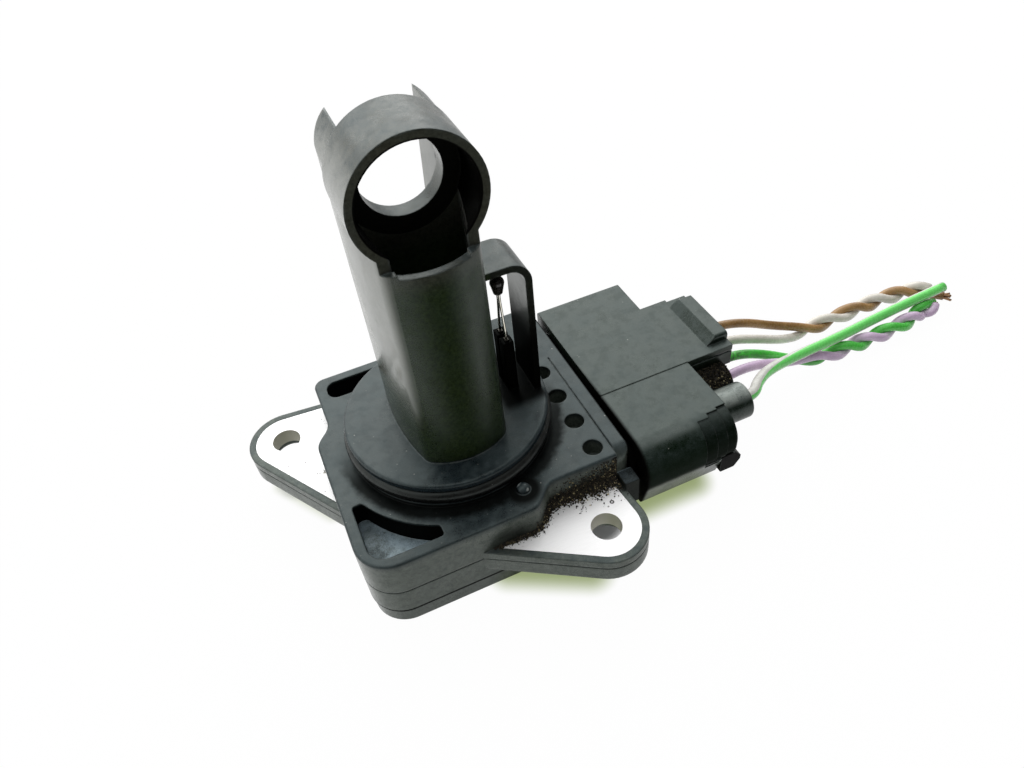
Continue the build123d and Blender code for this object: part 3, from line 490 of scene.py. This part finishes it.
def recess_grime(place):
    """Brown dirt in the recess between the latch plate and the single barrel."""
    x, y, z = place.parts()
    ragged = place.noise(0.9, 6.0, 0.7)
    recess = x.ramp(42.7, 43.3) * y.ramp(-10.6, -9.6) * y.ramp(-6.1, -6.6)
    return recess * (z + ragged * 2.0).ramp(-0.6, -2.0) * ragged.ramp(0.3, 0.48)


plug_dust = (0.040, 0.054, 0.050, 1)
plug_plastic = moulded_plastic(
    "plug_plastic",
    plug_colour,
    plug_dust,
    plug_polish,
    specks=0.04,
    rounding=0.3,
    soot_and_shade=plug_gap_shade_and_patch,
    grime=recess_grime,
)
dress(plug_plastic, "plug_housing")


# Terminal clip: a small moulded bar of dull black plastic that locks the contacts in the plug.
# It is pressed in across the lower front end of the hood.
def clip_colour(place, looks):
    """Black with a brown tinge."""
    return (0.007, 0.006, 0.006, 1)


def dull_polish(place, looks):
    """Matt, a little brighter where a face looks up."""
    return looks[2].ramp(0.2, 0.9) * 0.3 + 0.1


clip_dust = (0.024, 0.022, 0.020, 1)
clip_plastic = moulded_plastic("clip_plastic", clip_colour, clip_dust, dull_polish)
dress(clip_plastic, "terminal_retainer")


# Rubber inside the plug: the band round its core and the sleeves that close the barrels. Both are
# moulded of red-brown rubber, the band pushed over the core and the sleeves over the wires.
inner_rubber = clouded_finish("inner_rubber", (0.16, 0.07, 0.045, 1), (0.22, 0.10, 0.065, 1), 0.0, 0.5, 1.0)
dress(inner_rubber, "plug_seal", "wire_seals")


# Five cut wires: thin glossy insulation over a few copper strands. Two pairs are twisted past the
# plug, and the white wire with its green stripe lies loose over both.
wire_diameter = 1.8
striped_diameter = 2.1


def twist(stations, phase, height=-14.6, turn_radius=1.22):
    """One wire of a twisted pair: on top at every other station, half a turn away at those between.

    A station is a place along the pair and the pair's middle there. The points stand a quarter turn
    apart round that middle, at the stations and half way between them.
    """
    points = []
    for quarter in range(2 * len(stations) - 1):
        before, after = stations[quarter // 2], stations[(quarter + 1) // 2]
        angle = phase - quarter * math.pi / 2
        y = (before[1] + after[1]) / 2 + turn_radius * math.sin(angle)
        points.append(((before[0] + after[0]) / 2, y, height + turn_radius * math.cos(angle)))
    return points


first_pair = [(77.6, 2.5), (84.1, 2.5), (91.4, 2.7), (97.2, 2.8), (103.0, 2.4), (107.6, 1.5)]
second_pair = [(75.4, -5.7), (81.9, -5.8), (87.3, -5.9), (93.2, -5.8), (99.4, -5.3), (103.3, -4.0)]
routes = {
    "brown_wire": [
        (46.6, 5.4, -7),
        (52.5, 5.4, -7),
        (58.8, 5.5, -7),
        (64.5, 4.7, -8.2),
        (70.8, 4.0, -11.2),
        *twist(first_pair, 0),
        (109.4, -0.4, -15.4),
        (111, -2.4, -15.2),
    ],
    "grey_wire": [
        (46.6, 1.2, -7),
        (52.5, 1.2, -7),
        (58.4, 1.1, -7.2),
        (64, 0.1, -8.8),
        (70.8, 0.3, -12.2),
        *twist(first_pair, math.pi),
        (109.6, 0.6, -14.4),
    ],
    "green_wire": [
        (46.6, -3, -7),
        (52, -3, -7),
        (57, -3.0, -7.1),
        (62.5, -3.7, -9),
        (68.6, -4.4, -12.4),
        *twist(second_pair, math.pi),
        (107.2, -3.0, -14.9),
    ],
    "violet_wire": [
        (46.6, -7.2, -7),
        (51.5, -7.2, -7),
        (55, -6.6, -7.3),
        (60, -6.0, -8.6),
        (67.8, -6.2, -11.6),
        *twist(second_pair, 0),
        (105.2, -5.6, -14.9),
        (106.4, -4.3, -14.3),
    ],
    "striped_wire": [
        (46.6, -13.2, -7),
        (51.4, -13.2, -7),
        (53.8, -12.8, -7),
        (55.6, -11, -7),
        (60, -8.5, -8),
        (68.4, -6.3, -10.2),
        (80.7, -4.5, -12),
        (90.7, -3.2, -12.5),
        (101, -2.5, -12.5),
        (110, -2.1, -12.5),
    ],
}


def smooth_line(points):
    """The points of a second-degree spline that has a wire's route as its control points, in metres."""
    curve = bpy.data.curves.new("route", "CURVE")
    curve.dimensions = "3D"
    spline = curve.splines.new("NURBS")
    spline.points.add(len(points) - 1)
    control = np.ones((len(points), 4))
    control[:, :3] = np.array(points) * mm
    spline.points.foreach_set("co", control.ravel())
    spline.order_u = 3
    spline.use_endpoint_u = True
    spline.resolution_u = 10
    holder = bpy.data.objects.new("route", curve)
    bpy.context.scene.collection.objects.link(holder)
    line = bpy.data.meshes.new_from_object(holder.evaluated_get(bpy.context.evaluated_depsgraph_get()))
    places = np.zeros(len(line.vertices) * 3)
    line.vertices.foreach_get("co", places)
    bpy.data.objects.remove(holder)
    return places.reshape(-1, 3)


def tube_grid(line, radius, columns=24):
    """A round tube: each point of the line carries a circle square to it, started from its level side.

    Gives the grid of points, with u round and v in millimetres along, and the line's length.
    """
    ahead = np.gradient(line, axis=0)
    ahead /= np.linalg.norm(ahead, axis=1)[:, None]
    side = np.cross(ahead, (0, 0, 1))
    side /= np.linalg.norm(side, axis=1)[:, None]
    up = np.cross(side, ahead)
    angle = np.linspace(0, 2 * np.pi, columns, endpoint=False)
    ring = np.cos(angle)[None, :, None] * side[:, None] + np.sin(angle)[None, :, None] * up[:, None]
    run = np.concatenate([[0], np.cumsum(np.linalg.norm(np.diff(line, axis=0), axis=1))])
    along, round_it = np.meshgrid(run / mm, angle / (2 * np.pi), indexing="ij")
    return line[:, None] + radius * ring, np.stack([round_it, along], -1), run[-1]


def grid_piece(name, grids, material, uvs=()):
    """One piece from grids of points, rows along and columns round, each closed by a cap at both ends."""
    points, faces = [], []
    start = 0
    for grid in grids:
        rows, columns = grid.shape[:2]
        row, column = np.meshgrid(np.arange(rows - 1), np.arange(columns), indexing="ij")
        after = (column + 1) % columns
        here, ahead = row * columns, (row + 1) * columns
        corners = np.stack([here + column, here + after, ahead + after, ahead + column], -1)
        faces += (corners.reshape(-1, 4) + start).tolist()
        faces.append([start + place for place in range(columns - 1, -1, -1)])
        faces.append([start + (rows - 1) * columns + place for place in range(columns)])
        points.append(grid.reshape(-1, 3))
        start += rows * columns
    mesh = bpy.data.meshes.new(name)
    mesh.from_pydata(np.concatenate(points).tolist(), [], faces)
    mesh.polygons.foreach_set("use_smooth", [len(face) == 4 for face in faces])
    if len(uvs):
        corner = np.zeros(len(mesh.loops), int)
        mesh.loops.foreach_get("vertex_index", corner)
        layer = mesh.uv_layers.new(name="along")
        layer.data.foreach_set("uv", np.concatenate([uv.reshape(-1, 2) for uv in uvs])[corner].ravel())
    mesh.materials.append(material)
    piece = bpy.data.objects.new(name, mesh)
    bpy.context.scene.collection.objects.link(piece)
    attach(piece, "root")
    return piece


def insulation(name, colour, shade, stripe=None, greasy=0.0):
    """Extruded insulation: soft colour drift along the wire and fine scuffs.

    A stripe runs along one side, under the wire's front near the plug and over its top further on. A greasy
    wire has a dark film in patches near the plug.
    """
    grease = (0.02, 0.02, 0.015, 1)
    material, place = new_material(name)
    cloud = place.noise(0.25)
    fleck = place.noise(2.2, 4.0, 0.7)
    base = cloud.ramp(0.35, 0.65).blend(colour, shade)
    if stripe:
        round_it, run = place.node("UVMap", {"uv_map": "along"}).parts()[:2]
        turn = (round_it + 0.03 + run.ramp(8.0, 30.0) * -0.18) * (2 * math.pi)
        lobe = place.maths("COSINE", turn)
        base = lobe.ramp(0.48, 0.60).blend(base, stripe)
    film = place.parts()[0].ramp(66.0, 50.0) * place.noise(1.1, 3.0).ramp(0.45, 0.54) * greasy
    base = film.blend(base, grease)
    place.node(
        "BsdfPrincipled",
        None,
        Base_Color=base,
        Roughness=0.20 + fleck * 0.15 + film * 0.2,
        Normal=place.node("Bump", None, Height=fleck + cloud, Strength=0.12, Distance=0.04 * mm),
    ).ends()
    return material


insulations = {
    "brown_wire": insulation("brown_insulation", (0.38, 0.225, 0.09, 1), (0.25, 0.14, 0.05, 1), greasy=0.5),
    "grey_wire": insulation("grey_insulation", (0.76, 0.73, 0.66, 1), (0.62, 0.59, 0.52, 1)),
    "green_wire": insulation("green_insulation", (0.10, 0.62, 0.085, 1), (0.07, 0.50, 0.06, 1), greasy=0.9),
    "violet_wire": insulation("violet_insulation", (0.70, 0.54, 0.72, 1), (0.58, 0.43, 0.60, 1)),
    "striped_wire": insulation(
        "striped_insulation", (0.70, 0.70, 0.65, 1), (0.56, 0.56, 0.51, 1), (0.17, 0.74, 0.16, 1)
    ),
}
copper = clouded_finish("copper_strands", (0.24, 0.14, 0.075, 1), (0.38, 0.23, 0.13, 1), 1.0, 0.40, 3.0)
strand_radius = 0.2
strands_out = {
    "brown_wire": 1.7,
    "grey_wire": 0.35,
    "green_wire": 0.3,
    "violet_wire": 0.4,
    "striped_wire": 0.25,
}
shake = np.random.default_rng(5)


def bare_strands(line, length_out):
    """Seven copper strands at the cut end of a wire, six round one, as grids.

    Each starts inside the insulation, runs straight on, and leans outwards with the square of its way.
    """
    tucked_in = 0.5 * mm
    ahead = line[-1] - line[-2]
    ahead /= np.linalg.norm(ahead)
    side = np.cross(ahead, (0, 0, 1))
    side /= np.linalg.norm(side)
    up = np.cross(side, ahead)
    steps = np.linspace(0, 1, 5)[:, None]
    strands = []
    for strand in range(7):
        angle = strand * math.pi / 3
        out = 0 if strand == 6 else 2.1 * strand_radius * mm
        foot = line[-1] + out * (math.cos(angle) * side + math.sin(angle) * up)
        reach = length_out * mm * shake.uniform(0.6, 1.0)
        spread = (foot - line[-1]) * shake.uniform(0.2, 1.2) * min(length_out, 1.5)
        strand_line = foot - ahead * tucked_in + steps * (reach + tucked_in) * ahead + steps**2 * spread
        strands.append(tube_grid(strand_line, strand_radius * mm, 8)[0])
    return strands


for name, route in routes.items():
    diameter = striped_diameter if name == "striped_wire" else wire_diameter
    line = smooth_line(route)
    grid, uv, length = tube_grid(line, diameter / 2 * mm)
    wire = grid_piece(name + "_lay", [grid], insulations[name], [uv])
    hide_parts(name)
    route[0][1] * mm
    route[0][2] * mm
    diameter * mm
    grid_piece(name.replace("wire", "strands"), bare_strands(line, strands_out[name]), copper)


# Grit: grains of sand and soil that lie on the ears along the base and in the recess of the plug.
# They are small broken lumps, brown to tan, and stick together where they lie thickest.
grit_material, place = new_material("grit")
tone = place.node("Attribute", {"attribute_name": "tone"}, "Fac")
dark_grain = (0.006, 0.005, 0.003, 1)
brown_grain = (0.060, 0.048, 0.025, 1)
pale_grain = (0.58, 0.50, 0.28, 1)
grain_colour = tone.ramp(0.3, 0.9).blend(dark_grain, brown_grain)
grain_colour = tone.ramp(0.91, 1.0).blend(grain_colour, pale_grain)
place.node("BsdfPrincipled", None, Base_Color=grain_colour, Roughness=0.75 + place.noise(4.0) * 0.2).ends()
# A grain starts as a round lump, whose points are the corners of three golden rectangles that cross.
golden = (1 + math.sqrt(5)) / 2
lump_radius = math.hypot(1, golden)
rectangle = np.array([(a, b * golden, 0) for a in (-1, 1) for b in (-1, 1)])
lump_points = np.concatenate([np.roll(rectangle, turn, axis=1) for turn in range(3)]) / lump_radius


def lump_faces():
    """The twenty faces of the lump: all triples of points an edge apart, wound to face outwards."""
    edge = 2 / lump_radius + 1e-6
    close = np.linalg.norm(lump_points[:, None] - lump_points[None], axis=2) < edge
    first, second, third = np.nonzero(close[:, :, None] & close[None] & close[:, None])
    ordered = (first < second) & (second < third)
    faces = np.stack([first, second, third], 1)[ordered]
    start, middle, end = lump_points[faces].swapaxes(0, 1)
    outward = np.einsum("ij,ij->i", np.cross(middle - start, end - start), start)
    return np.where((outward > 0)[:, None], faces, faces[:, ::-1])


def grit_piece(name, centres, sizes, seed, palest=1.0):
    """Grains round their centres: one lump of twenty faces for each, stretched and broken at random.

    Each grain has one tone, from dark at 0 to the palest.
    """
    draw = np.random.default_rng(seed)
    count = len(centres)
    stretch = draw.uniform(0.6, 1.3, (count, 1, 3)) * sizes[:, None, None]
    broken = draw.uniform(0.75, 1.2, (count, len(lump_points), 1))
    points = centres[:, None] + lump_points[None] * stretch * broken
    faces = lump_faces()[None] + (np.arange(count) * len(lump_points))[:, None, None]
    mesh = bpy.data.meshes.new(name)
    mesh.from_pydata((points.reshape(-1, 3) * mm).tolist(), [], faces.reshape(-1, 3).tolist())
    tones = mesh.attributes.new("tone", "FLOAT", "POINT")
    tones.data.foreach_set("value", np.repeat(draw.random(count) * palest, len(lump_points)))
    mesh.materials.append(grit_material)
    piece = bpy.data.objects.new(name, mesh)
    bpy.context.scene.collection.objects.link(piece)
    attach(piece, "root")


def wall_beside(along):
    """The front wall of the base beside the right ear: it eases from its full depth to the inset part.

    The inset grows as a smooth step of the place along the wall. The left ear's wall mirrors it.
    """
    full_depth, inset = -22.4, 3.5
    ease_start, ease_length = 5.0, 6.0
    share = np.clip((along - ease_start) / ease_length, 0, 1)
    return full_depth + inset * share * share * (3 - 2 * share)


# On the right ear most grains lie in clumps, and the pile is highest against the wall.
draw = np.random.default_rng(11)
count = 5200
clump = 24.0 - 25.0 * draw.random(90) ** 1.2
chosen = draw.integers(0, len(clump), count)
clumped = draw.random(count) < 0.6
by_clump = clump[chosen] + draw.normal(0, 0.45, count)
along = np.where(clumped, by_clump, draw.uniform(-1, 24, count))
thick = np.interp(along, [-1, 4, 10, 14, 21, 24], [0.35, 0.5, 1.0, 1.7, 1.9, 1.0])
off = np.minimum(draw.exponential(0.4, count), 2.4) * thick
sizes = draw.uniform(0.05, 0.20, count) * (1.1 - 0.2 * off / thick)
pile = np.maximum(0.9 * thick - off, 0) * 0.5 * draw.random(count)
centres = np.stack([along, wall_beside(along) - off - 0.05, plate_top + 0.6 * sizes + pile], 1)
kept = (along < 24.4) & ((along < 21.6) | (centres[:, 1] < -22.0))
grit_piece("right_grit", centres[kept], sizes[kept], 12)

# On the wall above it grains cling higher towards the plug.
count = 3400
along = 21.7 - 16.0 * draw.random(count) ** 1.6
climb = draw.exponential(1.0, count) * np.interp(along, [5, 12, 18, 22], [0.4, 0.9, 1.6, 2.0])
sizes = draw.uniform(0.04, 0.15, count)
centres = np.stack([along, wall_beside(along) - 0.5 * sizes, plate_top + climb], 1)
kept = climb < 5.2
grit_piece("wall_grit", centres[kept], sizes[kept], 15)

# Beside the left ear there is only a thin line of fine grains along the wall.
count = 420
along = 5.0 + 13.0 * draw.random(count)
off = draw.exponential(0.25, count)
sizes = draw.uniform(0.03, 0.10, count)
centres = np.stack([wall_beside(along) + 0.6 - off * 1.2, along, plate_top + 0.6 * sizes], 1)
grit_piece("left_grit", centres, sizes, 13)

# In the recess of the plug grains lie between the single barrel and the row, palest by the single one.
single_barrel, row_end = -13.2, -7.2
barrel_height, barrel_radius = -7, 3.4
count = 1600
side = draw.uniform(-10.3, -6.5, count)
along = 43.3 + 7.2 * draw.random(count) ** 1.3
on_single = np.sqrt(np.maximum(barrel_radius**2 - (side - single_barrel) ** 2, 0))
on_row = np.sqrt(np.maximum(barrel_radius**2 - np.minimum(side - row_end, 0) ** 2, 0))
sizes = draw.uniform(0.05, 0.18, count)
pile = 0.7 * draw.random(count) ** 2
height = barrel_height + np.maximum(on_single, on_row) + 0.5 * sizes + pile
centres = np.stack([along, side, height], 1)
grit_piece("plug_grit", centres, sizes, 14, palest=np.interp(side, [-10.3, -8.0], [1.03, 0.92]))


# Floor, light and camera: a white sweep under a wide soft box behind the sensor, in a room that is
# bright behind and at the left, so that upper faces shine and the faces towards the viewer stay dark.
floor_height = -16.6
floor_half = 3.0
shadow_tint = (0.50, 0.60, 0.27, 1)
white = (1, 1, 1, 1)
floor_material, place = new_material("white_sweep")
seen = place.node("LightPath", None, "Is Camera Ray")
for ray in ("Is Glossy Ray", "Is Transmission Ray"):
    seen = seen.most(place.node("LightPath", None, ray))
x, y = place.parts()[:2]


def past_strip(start, end):
    """How far a place on the floor lies from the line between two points.

    The nearest point of the line is a share of the way along it, kept between 0 and 1.
    """
    span = Vector(end) - Vector(start)
    along = ((x - start[0]) * span.x + (y - start[1]) * span.y) * (1 / span.length_squared)
    share = along.most(0.0).least(1.0)
    aside = x - start[0] - share * span.x
    ahead = y - start[1] - share * span.y
    return hypotenuse(aside, ahead)


def past_round(middle, radius):
    """How far a place on the floor lies outside a circle."""
    return place.away((*middle, floor_height)) - radius


# The floor glows less in three strips of shade, by the right ear, the plug and the left ear, and hardly
# at all under the screw holes.
beyond = past_strip((1.0, -20.5), (12.5, -26.8))
for other in (past_strip((26.0, -18.5), (37.0, -18.5)), past_strip((-30.0, 15.5), (-23.0, 5.0)) + 2.0):
    beyond = beyond.least(other)
hole = past_round((18.4, -19.0), 4).least(past_round((-26.7, 15.7), 4))
clear = beyond.ramp(0.8, 5.4)
glow = place.node("Emission", None, Color=clear.blend(shadow_tint, white), Strength=1.0)
matt = place.node("BsdfDiffuse", None, Color=(0.90, 0.90, 0.92, 1))
share = (0.55 + clear * 0.43) * (0.05 + hole.ramp(-1.0, 2.0) * 0.95)
place.node("MixShader", None, _0=seen * share, _1=matt, _2=glow).ends()
sweep = bpy.data.meshes.new("floor")
corner_signs = ((-1, -1), (1, -1), (1, 1), (-1, 1))
sweep.from_pydata(
    [(sx * floor_half, sy * floor_half, floor_height * mm) for sx, sy in corner_signs],
    [],
    [(0, 1, 2, 3)],
)
sweep.materials.append(floor_material)
floor = bpy.data.objects.new("floor", sweep)
bpy.context.scene.collection.objects.link(floor)


def soft_box(name, stand, aim, width, height, radiance):
    """A rectangular lamp that shows a given brightness towards its aim."""
    lamp = bpy.data.lights.new(name, "AREA")
    lamp.shape = "RECTANGLE"
    lamp.size, lamp.size_y = width * mm, height * mm
    lamp.energy = radiance * math.pi * lamp.size * lamp.size_y
    holder = bpy.data.objects.new(name, lamp)
    holder.location = Vector(stand) * mm
    holder.rotation_euler = (Vector(aim) - Vector(stand)).to_track_quat("-Z", "Y").to_euler()
    holder.visible_camera = False
    bpy.context.scene.collection.objects.link(holder)


soft_box("back_box", (189, 518, 431), (20, 0, 10), 1150, 620, 1.95)

# The room is white where the camera sees it. As a light it is bright behind, at the left and overhead.
world = bpy.data.worlds.new("studio")
bpy.context.scene.world = world
world.use_nodes = True
world.node_tree.nodes.clear()
tree = Value(world.node_tree)
ways = tree.node("TexCoord", None, "Generated")
bright_side = ways.dot((-0.55, 0.80, 0.20)).ramp(-0.3, 0.7)
above = ways.parts()[2].ramp(0.55, 0.95)
level = (bright_side * 0.9 + above * 0.6 + 0.05).most(tree.node("LightPath", None, "Is Camera Ray"))
background = tree.node("Background", None, Color=white, Strength=level)
output = world.node_tree.nodes.new("ShaderNodeOutputWorld")
world.node_tree.links.new(background.socket, output.inputs["Surface"])

# The camera stands where the photograph was taken, with its angles in degrees.
camera_place = (-17.97, -87.63, 97.42)
camera_heading = 18.92
camera_elevation = 45.25
camera_roll = -6.87
focal_length = 27.18
camera_data = bpy.data.cameras.new("camera")
camera_data.sensor_width = 36.0
camera_data.lens = focal_length
camera_data.clip_start = 0.005
camera = bpy.data.objects.new("camera", camera_data)
turn = Matrix.Rotation(math.radians(-camera_heading), 4, "Z")
tilt = Matrix.Rotation(math.radians(90 - camera_elevation), 4, "X")
roll = Matrix.Rotation(math.radians(camera_roll), 4, "Z")
camera.matrix_world = Matrix.Translation(Vector(camera_place) * mm) @ turn @ tilt @ roll
bpy.context.scene.collection.objects.link(camera)
bpy.context.scene.camera = camera
bpy.context.scene.view_settings.view_transform = "Standard"
